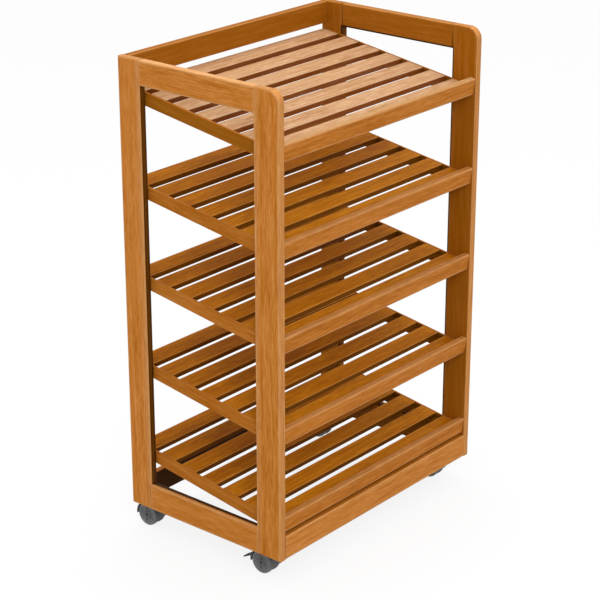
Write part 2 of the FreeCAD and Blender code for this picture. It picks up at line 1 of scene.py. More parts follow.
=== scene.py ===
"""Looks of the bakery bread rack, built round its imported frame.

Everything is in metres: +X to the right of the rack, +Y to its back, +Z up, and the floor at Z = 0.
"""
import logging
import math
import random
from dataclasses import dataclass, field
from enum import Enum
from typing import Callable, Sequence

import bmesh
import bpy
from mathutils import Matrix, Vector


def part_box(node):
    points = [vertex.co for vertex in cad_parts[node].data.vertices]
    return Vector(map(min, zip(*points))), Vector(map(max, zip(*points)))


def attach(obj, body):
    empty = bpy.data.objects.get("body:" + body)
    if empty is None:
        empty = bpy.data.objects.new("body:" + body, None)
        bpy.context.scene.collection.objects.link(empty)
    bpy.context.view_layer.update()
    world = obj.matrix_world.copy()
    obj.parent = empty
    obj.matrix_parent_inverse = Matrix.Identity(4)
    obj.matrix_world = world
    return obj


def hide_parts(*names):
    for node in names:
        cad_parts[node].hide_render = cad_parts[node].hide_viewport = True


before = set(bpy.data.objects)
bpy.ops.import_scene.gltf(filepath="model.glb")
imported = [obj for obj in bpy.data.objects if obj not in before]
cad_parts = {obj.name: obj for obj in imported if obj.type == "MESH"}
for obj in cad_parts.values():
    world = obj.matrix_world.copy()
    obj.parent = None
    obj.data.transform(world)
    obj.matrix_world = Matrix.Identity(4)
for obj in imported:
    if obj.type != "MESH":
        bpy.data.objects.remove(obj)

LOG = logging.getLogger("bread_rack")
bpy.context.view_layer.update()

Colour = tuple[float, float, float]
Point = tuple[float, float, float]
Section = list[tuple[float, float]]
Socket = bpy.types.NodeSocket
Shape = bmesh.types.BMesh
Edge = bmesh.types.BMEdge

WHITE = (1.0, 1.0, 1.0, 1.0)
NEAR = 0.0004                  # a point this near to a face is on it
ARRIS = 1.0                    # an edge that turns by more than this, in radians, is an arris
CAP_TURN = 0.7                 # the same for the rim of a glued end
CREASE = math.radians(38)      # an edge that turns by more than this is shaded sharp
WAVE_PERIOD = 0.314            # width of one ring of a wave texture whose scale is 1
HEART_SIDE = 0.4               # how far sideways a tree's heart may lie, in widths of the board
HEART_DEPTH = (0.012, 0.055)   # how far below the board it may lie
TREE_LENGTH = 40.0             # how far up or down the tree the board may come from
END_REACH = 0.0012             # a point this near to a board's end shows end grain


class Half(Enum):
    """A half of the rack, with the sign of its axis."""

    @property
    def word(self) -> str:
        """Name of the half as the nodes spell it."""
        return self.name.lower()


class Side(Half):
    """Left or right half of the rack, with the sign of its X."""

    LEFT = -1
    RIGHT = 1


class End(Half):
    """Front or rear half of the rack, with the sign of its Y."""

    FRONT = -1
    REAR = 1


class Along(Enum):
    """Axis that a board's grain runs along, with the two axes across it."""

    X = (0, 1, 2)
    Y = (1, 0, 2)
    Z = (2, 0, 1)


# Finishes -------------------------------------------------------------------------------


def scaled(colour: Colour, share: float) -> Colour:
    """A lighter or darker colour, held under 1."""
    return tuple(min(1.0, share * part) for part in colour)


class NodeBench:
    """Adds and joins the shader nodes of one material or of the surroundings."""

    def __init__(self, owner: bpy.types.Material | bpy.types.World) -> None:
        """Start with no nodes.

        Args:
            owner: What the nodes belong to.
        """
        owner.use_nodes = True
        self.owner = owner
        self.tree = owner.node_tree
        self.tree.nodes.clear()

    def add(self, kind: str, inputs: dict[str | int, object] | None = None,
            **settings: object) -> bpy.types.Node:
        """Add a node.

        Args:
            kind: Node type without its ShaderNode prefix.
            inputs: Values or output sockets for its inputs, by name or number.
            settings: Properties of the node itself.

        Returns:
            The new node.
        """
        node = self.tree.nodes.new(f"ShaderNode{kind}")
        for key, value in settings.items():
            setattr(node, key, value)
        for key, value in (inputs or {}).items():
            socket = node.inputs[key]
            if isinstance(value, Socket):
                self.tree.links.new(value, socket)
            else:
                socket.default_value = value
        return node

    def attribute(self, name: str, output: str = "Fac") -> Socket:
        """Output socket of a mesh attribute."""
        return self.add("Attribute", attribute_name=name).outputs[output]

    def place(self) -> Socket:
        """Coordinates of the piece in the rack's own frame, in metres."""
        return self.add("TexCoord").outputs["Object"]

    def stretched(self, source: Socket, scale: Point) -> Socket:
        """Coordinates scaled by a different amount along each axis."""
        return self.add("Mapping", {"Vector": source, "Scale": scale}).outputs["Vector"]

    def swayed(self, source: Socket, drift: Socket, reach: float) -> Socket:
        """Coordinates pushed across the grain by a drift."""
        return self.add("VectorMath", {0: drift, 1: (0.0, reach, reach), 2: source},
                        operation="MULTIPLY_ADD").outputs[0]

    def noise(self, source: Socket, scale: float, detail: float = 2.0,
              roughness: float = 0.5) -> Socket:
        """Smooth noise between 0 and 1."""
        return self.add("TexNoise", {"Vector": source, "Scale": scale, "Detail": detail,
                                     "Roughness": roughness}).outputs["Fac"]

    def strands(self, source: Socket, scales: tuple[float, float], detail: float = 1.0,
                roughness: float = 0.5) -> Socket:
        """Noise drawn out along the grain, by its scales along and across it."""
        along, across = scales
        return self.noise(self.stretched(source, (along, across, across)), 1.0, detail, roughness)

    def ranged(self, source: Socket, low: float, high: float, to_low: float = 0.0,
               to_high: float = 1.0) -> Socket:
        """A value moved from one range to another, and held inside it."""
        return self.add("MapRange", {"Value": source, "From Min": low, "From Max": high,
                                     "To Min": to_low, "To Max": to_high}).outputs["Result"]

    def sums(self, terms: Sequence[tuple[Socket, float]], base: float = 0.0) -> Socket:
        """Weighted sum of values.

        Args:
            terms: Each value with its weight.
            base: What the sum starts from.

        Returns:
            The socket of the sum.
        """
        total: Socket | float = base
        for socket, weight in terms:
            total = self.add("Math", {0: socket, 1: weight, 2: total},
                             operation="MULTIPLY_ADD").outputs[0]
        return total

    def product(self, first: Socket, second: Socket | float) -> Socket:
        """Product of two values."""
        return self.add("Math", {0: first, 1: second}, operation="MULTIPLY").outputs[0]

    def ramp(self, source: Socket, stops: Sequence[tuple[float, Colour]]) -> Socket:
        """Colour from a value, through two or more stops.

        Args:
            source: The value.
            stops: Places on the ramp, each with its colour.

        Returns:
            The socket of the colour.
        """
        made = self.add("ValToRGB", {"Fac": source})
        band = made.color_ramp
        while len(band.elements) < len(stops):
            band.elements.new(0.5)
        for element, (place, colour) in zip(band.elements, stops):
            element.position = place
            element.color = (*colour, 1.0)
        return made.outputs["Color"]

    def mixed(self, amount: Socket | float, first: Socket | Colour,
              second: Socket | Colour) -> Socket:
        """Blend of two colours.

        Args:
            amount: 0 for the first colour, 1 for the second.
            first: The first colour.
            second: The second colour.

        Returns:
            The socket of the blend.
        """
        inputs = {0: amount}
        for number, value in ((6, first), (7, second)):
            inputs[number] = (*value, 1.0) if isinstance(value, tuple) else value
        return self.add("Mix", inputs, data_type="RGBA").outputs[2]

    def bump(self, height: Socket, depth: float, strength: float) -> Socket:
        """Normal disturbed by a height, whose full range is depth metres."""
        return self.add("Bump", {"Height": height, "Distance": depth,
                                 "Strength": strength}).outputs["Normal"]

    def finish(self, inputs: dict[str, object]) -> bpy.types.Material:
        """Join a Principled shader to the output.

        Args:
            inputs: Values or sockets for the shader's inputs, by name.

        Returns:
            The finished material.
        """
        shader = self.add("BsdfPrincipled", inputs)
        self.add("OutputMaterial", {"Surface": shader.outputs["BSDF"]})
        return self.owner


@dataclass(frozen=True)
class WoodFinish:
    """Oiled wood whose grain follows the coordinates written on each board.

    The grains are scales per metre, along and across the board.
    """

    name: str
    late: Colour
    middle: Colour
    early: Colour
    # Pale colour for worn edges and for painted highlights on tops and front faces.
    wear_and_highlight_colour: Colour
    red: Colour
    # Colour of painted shade on inner faces, slat edges, bearers and rails.
    shade_colour: Colour = (0.300, 0.095, 0.0003)
    # Near-black colour of painted deep shade in creases and under the shelves.
    grime: Colour = (0.012, 0.006, 0.002)
    ring_width: float = 0.007
    rings: float = 0.12
    streaks: float = 1.00
    fibres: float = 1.50
    clouds: float = 0.50
    tones: float = 0.12
    reddened: float = 0.40
    flecked: float = 0.22
    pored: float = 0.40
    seam_dark: float = 0.20
    end_dark: float = 0.45
    streak_grain: tuple[float, float] = (9.0, 120.0)
    fibre_grain: tuple[float, float] = (30.0, 380.0)
    fleck_grain: tuple[float, float] = (60.0, 420.0)
    pore_grain: tuple[float, float] = (90.0, 1250.0)
    cloud_grain: tuple[float, float] = (3.0, 14.0)
    roughness: tuple[float, float] = (0.42, 0.62)
    shine: float = 0.05
    relief: float = 0.00022

    def material(self) -> bpy.types.Material:
        """Build the nodes: rings, streaks, fibres, pores, pale wear with painted highlight, and
        painted shade.

        Returns:
            The finished material.
        """
        bench = NodeBench(bpy.data.materials.new(self.name))
        grain = bench.attribute("grain", "Vector")
        long_grain = bench.stretched(grain, (0.075, 1.0, 1.0))
        noise = bench.add("TexNoise", {"Vector": long_grain, "Scale": 11.0, "Detail": 2.0})
        drift = bench.add("VectorMath", {0: noise.outputs["Color"], 1: (0.5, 0.5, 0.5)},
                          operation="SUBTRACT").outputs[0]
        bent = bench.swayed(long_grain, drift, 0.030)
        rings = bench.add(
            "TexWave",
            {"Vector": bent, "Scale": WAVE_PERIOD / self.ring_width, "Distortion": 1.4,
             "Detail": 3.0, "Detail Scale": 1.8, "Detail Roughness": 0.65},
            wave_type="RINGS", rings_direction="X", wave_profile="SIN",
        ).outputs["Fac"]
        wavy = bench.swayed(grain, drift, 0.006)
        streaks = bench.strands(wavy, self.streak_grain, 3.0, 0.6)
        fibres = bench.strands(wavy, self.fibre_grain, 3.0, 0.7)
        flecks = bench.ranged(bench.strands(wavy, self.fleck_grain), 0.58, 0.72)
        pores = bench.ranged(bench.strands(grain, self.pore_grain), 0.60, 0.70)
        clouds = bench.strands(grain, self.cloud_grain, 2.0)
        figure = bench.sums(
            [(rings, self.rings), (streaks, self.streaks), (fibres, self.fibres),
             (clouds, self.clouds), (bench.attribute("tone"), self.tones)],
            base=0.5 - 0.5 * (self.rings + self.streaks + self.fibres + self.clouds),
        )
        colour = bench.ramp(figure, [(0.15, self.late), (0.5, self.middle), (0.85, self.early)])
        colour = bench.mixed(bench.ranged(clouds, 0.42, 0.72, 0.0, self.reddened), colour, self.red)
        colour = bench.mixed(bench.product(flecks, self.flecked), colour, self.late)
        colour = bench.mixed(bench.product(pores, self.pored), colour, self.late)
        # Paler where edges are worn and where highlights are painted.
        wear_and_highlight_amount = bench.product(bench.attribute("wear"), bench.ranged(fibres, 0.35, 0.65, 0.6, 1.0))
        colour = bench.mixed(wear_and_highlight_amount, colour, self.wear_and_highlight_colour)
        seam = bench.ranged(bench.attribute("seam"), 0.55, 1.0, 0.0, self.seam_dark)
        colour = bench.mixed(seam, colour, scaled(self.late, 0.45))
        ends = bench.ranged(bench.attribute("end"), 0.6, 1.0, 0.0, self.end_dark)
        colour = bench.mixed(ends, colour, scaled(self.late, 0.75))
        # Painted shade, then near-black painted deep shade.
        dark = bench.product(bench.attribute("dark"), bench.ranged(streaks, 0.3, 0.7, 1.0, 0.8))
        colour = bench.mixed(dark, colour, self.shade_colour)
        colour = bench.mixed(bench.attribute("grime"), colour, self.grime)
        height = bench.sums([(fibres, 0.5), (streaks, 0.3), (rings, 0.12), (pores, -0.6)])
        gloss = bench.sums([(fibres, 0.6), (streaks, 0.6)], base=-0.1)
        return bench.finish({
            "Base Color": colour,
            "Roughness": bench.ranged(gloss, 0.2, 0.8, *self.roughness),
            "Specular IOR Level": self.shine,
            "Normal": bench.bump(height, self.relief, 0.5),
        })


@dataclass(frozen=True)
class PlasticFinish:
    """Moulded plastic with a fine spark-eroded skin, flow marks, dust, a dark tread and painted
    shade in hollows.
    """

    name: str
    colour: Colour
    dust: Colour
    roughness: float = 0.42
    grain: float = 0.00005
    dusty: float = 0.25
    shine: float = 0.35
    light_flow: float = 1.25
    # How dark the dark tread and the painted wheel shade make the colour.
    dark_hollow: float = 0.2
    dust_height: float = 0.05

    def material(self) -> bpy.types.Material:
        """Build the nodes.

        Returns:
            The finished material.
        """
        bench = NodeBench(bpy.data.materials.new(self.name))
        place = bench.place()
        skin = bench.noise(place, 1400.0)
        flow = bench.noise(place, 55.0, 3.0)
        scuffs = bench.noise(bench.stretched(place, (240.0, 90.0, 600.0)), 1.0)
        low = bench.ranged(bench.add("SeparateXYZ", {"Vector": place}).outputs["Z"],
                           0.0, self.dust_height, 1.0, 0.35)
        dust = bench.product(bench.product(bench.ranged(flow, 0.45, 0.75), low), self.dusty)
        tinted = bench.mixed(bench.ranged(flow, 0.35, 0.65), self.colour,
                             scaled(self.colour, self.light_flow))
        # Painted shade in the wheels' dishes, darkest at the hub, and a darker tread.
        dark_tread_and_shade = bench.product(bench.attribute("dark_tread_and_shade"), bench.ranged(flow, 0.35, 0.6, 0.6, 1.0))
        shaded = bench.mixed(dark_tread_and_shade, tinted, scaled(self.colour, self.dark_hollow))
        return bench.finish({
            "Base Color": bench.mixed(dust, shaded, self.dust),
            "Roughness": bench.ranged(bench.sums([(scuffs, 0.6), (flow, 0.4)]), 0.3, 0.7,
                                      self.roughness - 0.08, self.roughness + 0.14),
            "Specular IOR Level": self.shine,
            "Normal": bench.bump(bench.sums([(skin, 0.7), (scuffs, 0.3)]), self.grain, 0.6),
        })


@dataclass(frozen=True)
class SteelFinish:
    """Plated or blackened steel with a soft spangle, drawn lines and a little tarnish."""

    name: str
    colour: Colour = (0.56, 0.57, 0.58)
    tarnish: Colour = (0.30, 0.29, 0.27)
    roughness: float = 0.3
    tarnished: float = 0.6
    relief: float = 0.00003

    def material(self) -> bpy.types.Material:
        """Build the nodes.

        Returns:
            The finished material.
        """
        bench = NodeBench(bpy.data.materials.new(self.name))
        place = bench.place()
        spangle = bench.noise(place, 380.0)
        lines = bench.noise(bench.stretched(place, (160.0, 2600.0, 900.0)), 1.0)
        spots = bench.ranged(bench.noise(place, 120.0, 3.0), 0.55, 0.75)
        return bench.finish({
            "Base Color": bench.mixed(bench.product(spots, self.tarnished), self.colour,
                                      self.tarnish),
            "Metallic": 1.0,
            "Roughness": bench.ranged(bench.sums([(spangle, 0.5), (lines, 0.5)]), 0.3, 0.7,
                                      self.roughness - 0.08, self.roughness + 0.18),
            "Normal": bench.bump(lines, self.relief, 0.5),
        })


Finish = WoodFinish | PlasticFinish | SteelFinish

HONEY_OIL = WoodFinish(
    "honey_oiled_wood", late=(0.455, 0.135, 0.008), middle=(0.595, 0.212, 0.033),
    early=(0.720, 0.295, 0.075), wear_and_highlight_colour=(0.71, 0.43, 0.200), red=(0.585, 0.185, 0.018),
)
# Lower slats; their shade colour paints the shade on the slat edges in the gaps.
SLAT_OIL = WoodFinish(
    "honey_oiled_slats", late=(0.365, 0.108, 0.002), middle=(0.525, 0.177, 0.003),
    early=(0.680, 0.262, 0.012), wear_and_highlight_colour=(0.69, 0.37, 0.110), red=(0.515, 0.155, 0.003),
    shade_colour=(0.138, 0.041, 0.0003), ring_width=0.006, shine=0.03,
)
# Top slats: paler, bluer colours that paint in the sheen of the light from above.
SHEEN_TOP_OIL = WoodFinish(
    "top_slats_painted_sheen", late=(0.382, 0.174, 0.066), middle=(0.497, 0.282, 0.143),
    early=(0.640, 0.400, 0.230), wear_and_highlight_colour=(0.68, 0.46, 0.285), red=(0.490, 0.255, 0.112),
    shade_colour=(0.245, 0.055, 0.0003), ring_width=0.006, fibres=1.7, shine=0.03,
)
RAW_BLOCK = WoodFinish(
    "unoiled_block_wood", late=(0.32, 0.15, 0.050), middle=(0.47, 0.25, 0.10),
    early=(0.58, 0.36, 0.17), wear_and_highlight_colour=(0.66, 0.46, 0.26), red=(0.45, 0.21, 0.08),
    roughness=(0.55, 0.75),
)
GREY_WHEEL = PlasticFinish("grey_wheel_plastic", (0.175, 0.180, 0.192), (0.32, 0.31, 0.30),
                           dusty=0.4)
GREY_HOOD = PlasticFinish("grey_hood_plastic", (0.098, 0.101, 0.108), (0.26, 0.25, 0.235))
BLACK_PEDAL = PlasticFinish("black_pedal_plastic", (0.009, 0.009, 0.010), (0.08, 0.077, 0.073),
                            roughness=0.36, dusty=0.12, shine=0.12)
ZINC = SteelFinish("zinc_plated_steel")
BLACKENED = SteelFinish("blackened_steel", (0.090, 0.090, 0.095), (0.050, 0.048, 0.045), 0.42)


@dataclass
class Finishes:
    """The finishes of the rack, each made into a material once, on first use."""

    made: dict[str, bpy.types.Material] = field(default_factory=dict)

    def get(self, finish: Finish) -> bpy.types.Material:
        """Find or make a material.

        Args:
            finish: The finish that it shows.

        Returns:
            The finish's material.
        """
        if finish.name not in self.made:
            self.made[finish.name] = finish.material()
        return self.made[finish.name]


FINISHES = Finishes()


# Meshes ---------------------------------------------------------------------------------


def mesh_piece(name: str, shape: Shape, finish: Finish, body: str,
               node: str) -> bpy.types.Object:
    """Turn a shape into a piece that rides on a body and stands for a CAD node.

    Args:
        name: Name of the piece.
        shape: Its mesh, in the rack's frame. It is freed here.
        finish: What it is finished with.
        body: CAD body that it moves with.
        node: CAD node that it stands for.

    Returns:
        The new object.
    """
    for edge in shape.edges:
        edge.smooth = not (edge.is_manifold and edge.calc_face_angle(0.0) > CREASE)
    for face in shape.faces:
        face.smooth = True
    mesh = bpy.data.meshes.new(name)
    shape.to_mesh(mesh)
    shape.free()
    mesh.materials.append(FINISHES.get(finish))
    made = bpy.data.objects.new(name, mesh)
    bpy.context.scene.collection.objects.link(made)
    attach(made, body)
    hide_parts(node)
    LOG.info("%s: %d faces on %s, for %s", name, len(mesh.polygons), body, node)
    return made


def merge(target: Shape, part: Shape) -> None:
    """Add one mesh to another, and free it.

    Args:
        target: The mesh that grows.
        part: The mesh that is added.
    """
    scratch = bpy.data.meshes.new("scratch")
    part.to_mesh(scratch)
    part.free()
    target.from_mesh(scratch)
    bpy.data.meshes.remove(scratch)


def thicken(shape: Shape, shift: Sequence[float]) -> None:
    """Extrude a flat shape into a closed one.

    Args:
        shape: One or more faces in a plane.
        shift: How far they are extruded, along X, Y and Z.
    """
    pushed = bmesh.ops.extrude_face_region(shape, geom=list(shape.faces))["geom"]
    bmesh.ops.translate(shape, vec=shift,
                        verts=[part for part in pushed if isinstance(part, bmesh.types.BMVert)])
    bmesh.ops.recalc_face_normals(shape, faces=shape.faces)


def oblong(u_from: float, v_from: float, u_to: float, v_to: float) -> Section:
    """Corners of an oblong."""
    return [(u_from, v_from), (u_to, v_from), (u_to, v_to), (u_from, v_to)]


def prism(outline: Section, along: Along, low: float, high: float) -> Shape:
    """Make a prism with a given section.

    Args:
        outline: Corners of the section, in the two axes across the run.
        along: Axis of the run.
        low: Where the run starts.
        high: Where it ends.

    Returns:
        A new mesh.
    """
    run, first, second = along.value
    shape = bmesh.new()
    start = []
    for u, v in outline:
        corner = [0.0, 0.0, 0.0]
        corner[run], corner[first], corner[second] = low, u, v
        start.append(shape.verts.new(corner))
    shape.faces.new(start)
    shift = [0.0, 0.0, 0.0]
    shift[run] = high - low
    thicken(shape, shift)
    return shape


def round_edges(shape: Shape, radius: float, chosen: Callable[[Edge], bool],
                segments: int = 4) -> None:
    """Round the edges that a test picks."""
    edges = [edge for edge in shape.edges if chosen(edge)]
    bmesh.ops.bevel(shape, geom=edges, offset=radius, segments=segments, profile=0.5,
                    affect="EDGES", clamp_overlap=True)


def cut(shape: Shape, axis: int, place: float) -> None:
    """Divide a shape's faces in a plane square to an axis."""
    normal = Vector([1.0 if number == axis else 0.0 for number in range(3)])
    bmesh.ops.bisect_plane(shape, geom=[*shape.verts, *shape.edges, *shape.faces],
                           plane_co=normal * place, plane_no=normal)


def is_arris(edge: Edge) -> bool:
    """True for an edge where two faces meet at a marked angle."""
    return edge.calc_face_angle(0.0) > ARRIS


def runs_across(edge: Edge) -> bool:
    """True for an edge that runs along X."""
    across = edge.verts[1].co - edge.verts[0].co
    return abs(across.x) > 0.999 * across.length


@dataclass(frozen=True)
class Cap:
    """Plane in which a board's end is glued to its neighbour."""

    axis: int
    place: float

    def holds(self, point: Vector, reach: float = 0.0006) -> bool:
        """True for a point in the plane."""
        return abs(point[self.axis] - self.place) < reach

    def chamfer(self, shape: Shape, size: float = 0.0002) -> None:
        """Break the arrises of the end, so that the joint shows as a fine groove.

        Args:
            shape: The board.
            size: Width of the chamfer.
        """
        flat = {face for face in shape.faces if all(self.holds(v.co, 1e-5) for v in face.verts)}
        rim = [edge for edge in shape.edges if edge.calc_face_angle(0.0) > CAP_TURN
               and sum(face in flat for face in edge.link_faces) == 1]
        if rim:
            bmesh.ops.bevel(shape, geom=rim, offset=size, segments=1, affect="EDGES",
                            clamp_overlap=True)


def paint(shape: Shape, chosen: Callable[[Vector], bool], **marks: float) -> None:
    """Write marks on the points that a test picks.

    Args:
        shape: The board.
        chosen: Test on a point's place.
        marks: How strong each mark is, from 0 to 1: a pale mark for wear and painted highlight, a
            brown
        mark for painted shade, and a near-black mark for painted deep shade.
    """
    layers = shape.verts.layers.float
    for mark, amount in marks.items():
        layer = layers.get(mark) or layers.new(mark)
        for vert in shape.verts:
            if chosen(vert.co):
                vert[layer] = amount


def mark_wood(shape: Shape, along: Along, seed: int, caps: Sequence[Cap] = (),
              border: float = 0.0022, tone: float | None = None, wear_and_highlight_amount: float = 0.45) -> None:
    """Write a board's wood on its points: grain, tone, worn edges with painted highlight, and ends.

    A border is cut into each broad face and round each end, so that the marks stay near the edges.

    Args:
        shape: The board, in the axes that it is cut along.
        along: Axis of its grain.
        seed: Picks where in the tree the board comes from.
        caps: Planes in which the board is glued to its neighbours.
        border: Width of the border.
        tone: How light the board is, from -1 to 1, or None for a random one.
        wear_and_highlight_amount: How pale its edges are, from wear and painted highlight, 0 to 1.
    """
    chance = random.Random(seed)
    wear = shape.verts.layers.float.new("wear")
    narrowest, inset = 1.25 * border, 1.2 * border
    broad = []
    for face in shape.faces:
        length = sum(edge.calc_length() for edge in face.edges)
        if 2 * face.calc_area() / length > narrowest:
            broad.append(face)
    bmesh.ops.inset_individual(shape, faces=broad, thickness=border, use_even_offset=True)
    # Edges and roundings get the pale mark, partly wear and partly painted highlight; broad faces
    # stay clear.
    for vert in shape.verts:
        vert[wear] = wear_and_highlight_amount
    for face in broad:
        for vert in face.verts:
            vert[wear] = 0.0
    low = Vector([min(v.co[axis] for v in shape.verts) for axis in range(3)])
    high = Vector([max(v.co[axis] for v in shape.verts) for axis in range(3)])
    middle, size = (low + high) / 2, high - low
    run, first, second = along.value
    for place in (low[run] + inset, high[run] - inset):
        cut(shape, run, place)
    wide, thick = (first, second) if size[first] >= size[second] else (second, first)
    heart = (chance.uniform(-HEART_SIDE, HEART_SIDE) * size[wide],
             chance.choice((-1, 1)) * (size[thick] / 2 + chance.uniform(*HEART_DEPTH)))
    start = chance.uniform(-TREE_LENGTH, TREE_LENGTH)
    light = chance.uniform(-1.0, 1.0) if tone is None else tone
    grain = shape.verts.layers.float_vector.new("grain")
    layers = {word: shape.verts.layers.float.new(word) for word in ("tone", "seam", "end")}
    for vert in shape.verts:
        place = vert.co - middle
        vert[grain] = Vector((place[run] + start, place[wide] + heart[0], place[thick] + heart[1]))
        glued = any(cap.holds(vert.co) for cap in caps)
        at_end = abs(abs(place[run]) - size[run] / 2) < END_REACH
        vert[layers["tone"]] = light
        vert[layers["seam"]] = 1.0 if glued else 0.0
        vert[layers["end"]] = 1.0 if at_end and not glued else 0.0


def cross_board(outline: Section, inside: float, edge: float, seed: int, tone: float,
                segments: int = 4) -> Shape:
    """Make a board that runs across the rack and is glued at both ends.

    Args:
        outline: Its section, as (Y, Z).
        inside: X of the side frames' inner faces.
        edge: Radius of its long edges.
        seed: Picks where in the tree the board comes from.
        tone: How light the board is, from -1 to 1.
        segments: Steps in the rounding of its edges.

    Returns:
        A new mesh, with its wood marked.
    """
    shape = prism(outline, Along.X, -inside, inside)
    round_edges(shape, edge, runs_across, segments)
    caps = (Cap(0, -inside), Cap(0, inside))
    for cap in caps:
        cap.chamfer(shape)
    mark_wood(shape, Along.X, seed, caps, tone=tone)
    return shape


# Side frames and cross rails ------------------------------------------------------------


@dataclass
class FrameSizes:
    """Sizes of the wooden frame."""

    half_width: float = 0.332
    thickness: float = 0.018
    front: float = -0.212
    rear: float = 0.212
    bottom: float = 0.061
    top: float = 1.061
    front_stile: float = 0.064
    rear_stile: float = 0.059
    top_rail: float = 0.053
    bottom_rail: float = 0.060
    edge: float = 0.003
    corner: float = 0.026

    @property
    def inside(self) -> float:
        """X of the inner faces."""
        return self.half_width - self.thickness


@dataclass
class SideFrame:
    """One flat side frame: two full-height stiles with a rail between them at each end."""

    side: Side
    sizes: FrameSizes = field(default_factory=FrameSizes)
    corner_steps: int = 12
    # Strengths of painted highlight on the front and top faces and in stripes beside the joints.
    front_wear: float = 0.30
    top_wear: float = 0.70
    edge_wear: float = 0.32
    pale_edge: float = 0.005
    pale_fade: float = 0.015
    # Strengths of painted shade on the top and inner faces, and of near-black painted shade on the
    # opening's rounding, the reveal and the ledge.
    top_shade: float = 0.0
    inner_shade: float = 0.92
    arris_grime: float = 0.95
    opening_grime: float = 0.6
    ledge_grime: float = 0.9
    ledge_width: float = 0.011
    ledge_fade: float = 0.0008

    def levels(self) -> tuple[float, float, float, float, float, float, float, float]:
        """The four Y and the four Z at which the frame's boards start and end."""
        s = self.sizes
        return (s.front, s.front + s.front_stile, s.rear - s.rear_stile, s.rear,
                s.bottom, s.bottom + s.bottom_rail, s.top - s.top_rail, s.top)

    def ring(self) -> Shape:
        """Make the whole frame in one piece, with rounded edges, still joined at its joints.

        Returns:
            A new mesh.
        """
        y0, y1, y2, y3, z0, z1, z2, z3 = self.levels()
        radius = self.sizes.corner
        arc = []
        for step in range(self.corner_steps + 1):
            angle = math.pi / 2 * (1 + step / self.corner_steps)
            arc.append((y0 + radius * (1 + math.cos(angle)), z3 - radius * (1 - math.sin(angle))))
        outlines = [
            [(y0, z0), (y1, z0), (y1, z1), (y1, z2), (y1, z3), *arc],
            [(y2, z0), (y3, z0), (y3, z3), (y2, z3), (y2, z2), (y2, z1)],
            oblong(y1, z2, y2, z3),
            oblong(y1, z0, y2, z1),
        ]
        inner = self.side.value * self.sizes.inside
        shape = bmesh.new()
        known: dict[tuple[float, float], bmesh.types.BMVert] = {}
        for outline in outlines:
            for y, z in outline:
                if (y, z) not in known:
                    known[(y, z)] = shape.verts.new((inner, y, z))
            shape.faces.new([known[corner] for corner in outline])
        thicken(shape, (self.side.value * self.sizes.thickness, 0.0, 0.0))

        def in_side_face(edge: Edge) -> bool:
            """True for an arris round the outline or the opening, in a side face."""
            return abs(edge.verts[0].co.x - edge.verts[1].co.x) < 1e-7 and is_arris(edge)

        round_edges(shape, self.sizes.edge, in_side_face)
        return shape

    def board(self, ring: Shape, y_from: float, y_to: float, z_from: float, z_to: float) -> Shape:
        """Saw one board out of the ring, square at its joints, and close the sawn ends.

        Args:
            ring: The whole frame. It is left as it is.
            y_from: Lowest Y of the board.
            y_to: Highest Y of the board.
            z_from: Lowest Z of the board.
            z_to: Highest Z of the board.

        Returns:
            A new mesh.
        """
        part = ring.copy()
        for place, outwards in ((y_from, -1.0), (y_to, 1.0)):
            bmesh.ops.bisect_plane(part, geom=[*part.verts, *part.edges, *part.faces],
                                   plane_co=(0.0, place, 0.0), plane_no=(0.0, outwards, 0.0),
                                   dist=1e-5, clear_outer=True)
        outside = [face for face in part.faces
                   if not z_from < face.calc_center_median().z < z_to]
        bmesh.ops.delete(part, geom=outside, context="FACES")
        bmesh.ops.dissolve_limit(part, angle_limit=math.radians(0.5), verts=part.verts,
                                 edges=part.edges)
        rim = [edge for edge in part.edges if edge.is_boundary]
        bmesh.ops.holes_fill(part, edges=rim, sides=0)
        bmesh.ops.recalc_face_normals(part, faces=part.faces)
        return part

    def weather(self, shape: Shape, part: str) -> None:
        """Paint highlights on a board's top and front faces and beside its joints, and paint shade
        on its inner faces, the opening's rounding, the reveal, the ledge and, where asked, its top.

        Args:
            shape: The board, with its wood marked.
            part: Which of the frame's boards it is.
        """
        s = self.sizes
        y0, y1, y2, _, _, z1, z2, z3 = self.levels()
        heel = Vector((y0 + s.corner, z3 - s.corner))

        def on_front(point: Vector) -> bool:
            """True on the flat front face and on the large corner above it."""
            spoke = point.yz - heel
            turned = spoke.x < 0.0 < spoke.y and spoke.length > s.corner - NEAR
            return point.y < y0 + NEAR or turned

        def on_top(point: Vector) -> bool:
            """True on the flat top face."""
            return point.z > z3 - NEAR

        def on_shaded_ledge(point: Vector) -> bool:
            """True on the inner part of the bottom rail's top face, which gets painted shade."""
            deep = abs(point.x) < s.inside + self.ledge_width + NEAR
            return deep and z1 - s.edge - NEAR < point.z < z1 + NEAR and y1 < point.y < y2

        def on_shaded_arris(point: Vector) -> bool:
            """True on the inner rounding of the opening, which gets painted shade."""
            reach = 1.05 * s.edge
            beside = y1 - reach < point.y < y2 + reach and z1 - reach < point.z < z2 + reach
            return beside and abs(point.x) < s.inside + s.edge - NEAR

        def on_reveal(point: Vector) -> bool:
            """True on the flat face that looks forwards into the opening."""
            return abs(point.y - y2) < NEAR and abs(point.x) < s.half_width - s.edge + NEAR

        # Painted highlight in a stripe beside each joint of the stiles, fading out further in.
        for place, towards in ((y1, -1), (y2, 1)):
            for depth, wear in ((self.pale_edge, self.edge_wear), (self.pale_fade, 0.0)):
                line = place + towards * depth
                cut(shape, 1, line)
                paint(shape, lambda point, line=line: abs(point.y - line) < NEAR, wear=wear)
        for depth in (self.ledge_width, self.ledge_width + self.ledge_fade):
            cut(shape, 0, self.side.value * (s.inside + depth))
        # Painted highlight on the front faces and the top faces.
        paint(shape, on_front, wear=self.front_wear)
        paint(shape, on_top, wear=self.top_wear)
